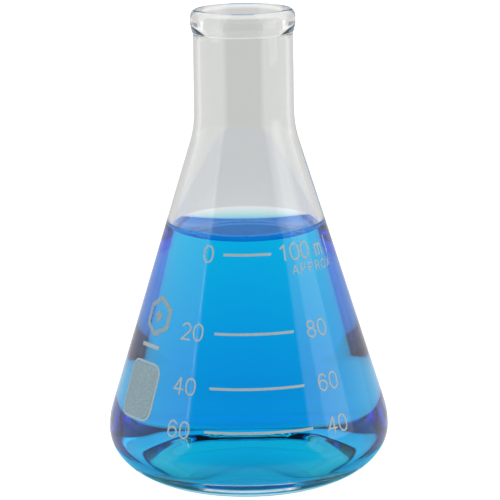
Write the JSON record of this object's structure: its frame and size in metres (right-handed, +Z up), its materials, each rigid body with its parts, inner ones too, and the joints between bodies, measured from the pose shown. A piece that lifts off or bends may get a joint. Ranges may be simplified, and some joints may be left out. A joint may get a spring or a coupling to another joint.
{
  "type": "erlenmeyer flask",
  "caption": "Narrow-neck conical glass laboratory flask with a beaded rim and a printed volume scale, partly filled with a clear blue liquid.",
  "frame": {"origin": "centre of the base, on the plane that the flask stands on", "axes": "+Z up along the flask's axis towards the mouth, -Y towards the reader of the printed scale"},
  "size_m": [0.0628, 0.0628, 0.1051],
  "materials": {
    "borosilicate_glass": "gloss",
    "blue_liquid": "gloss",
    "scale_enamel": "satin",
    "marking_enamel": "matte"
  },
  "bodies": {
    "root": {"blue_liquid": "blue_liquid", "emblem_core": "marking_enamel", "emblem_ring": "marking_enamel", "flask_body": "borosilicate_glass", "held_100_figure_1": "scale_enamel", "held_100_figure_2": "scale_enamel", "held_100_figure_3": "scale_enamel", "held_40_figure_1": "scale_enamel", "held_40_figure_2": "scale_enamel", "held_60_figure_1": "scale_enamel", "held_60_figure_2": "scale_enamel", "held_80_figure_1": "scale_enamel", "held_80_figure_2": "scale_enamel", "line_100_ml": "scale_enamel", "line_40_ml": "scale_enamel", "line_60_ml": "scale_enamel", "line_80_ml": "scale_enamel", "marking_spot": "marking_enamel", "marking_spot_border": "scale_enamel", "name_bar": "scale_enamel", "note_full_stop": "scale_enamel", "note_letter_1_A": "scale_enamel", "note_letter_2_P": "scale_enamel", "note_letter_3_P": "scale_enamel", "note_letter_4_R": "scale_enamel", "note_letter_5_O": "scale_enamel", "note_letter_6_X": "scale_enamel", "poured_0_figure_1": "scale_enamel", "poured_20_figure_1": "scale_enamel", "poured_20_figure_2": "scale_enamel", "poured_40_figure_1": "scale_enamel", "poured_40_figure_2": "scale_enamel", "poured_60_figure_1": "scale_enamel", "poured_60_figure_2": "scale_enamel", "unit_letter_l": "scale_enamel", "unit_letter_m": "scale_enamel"}
  },
  "joints": []
}
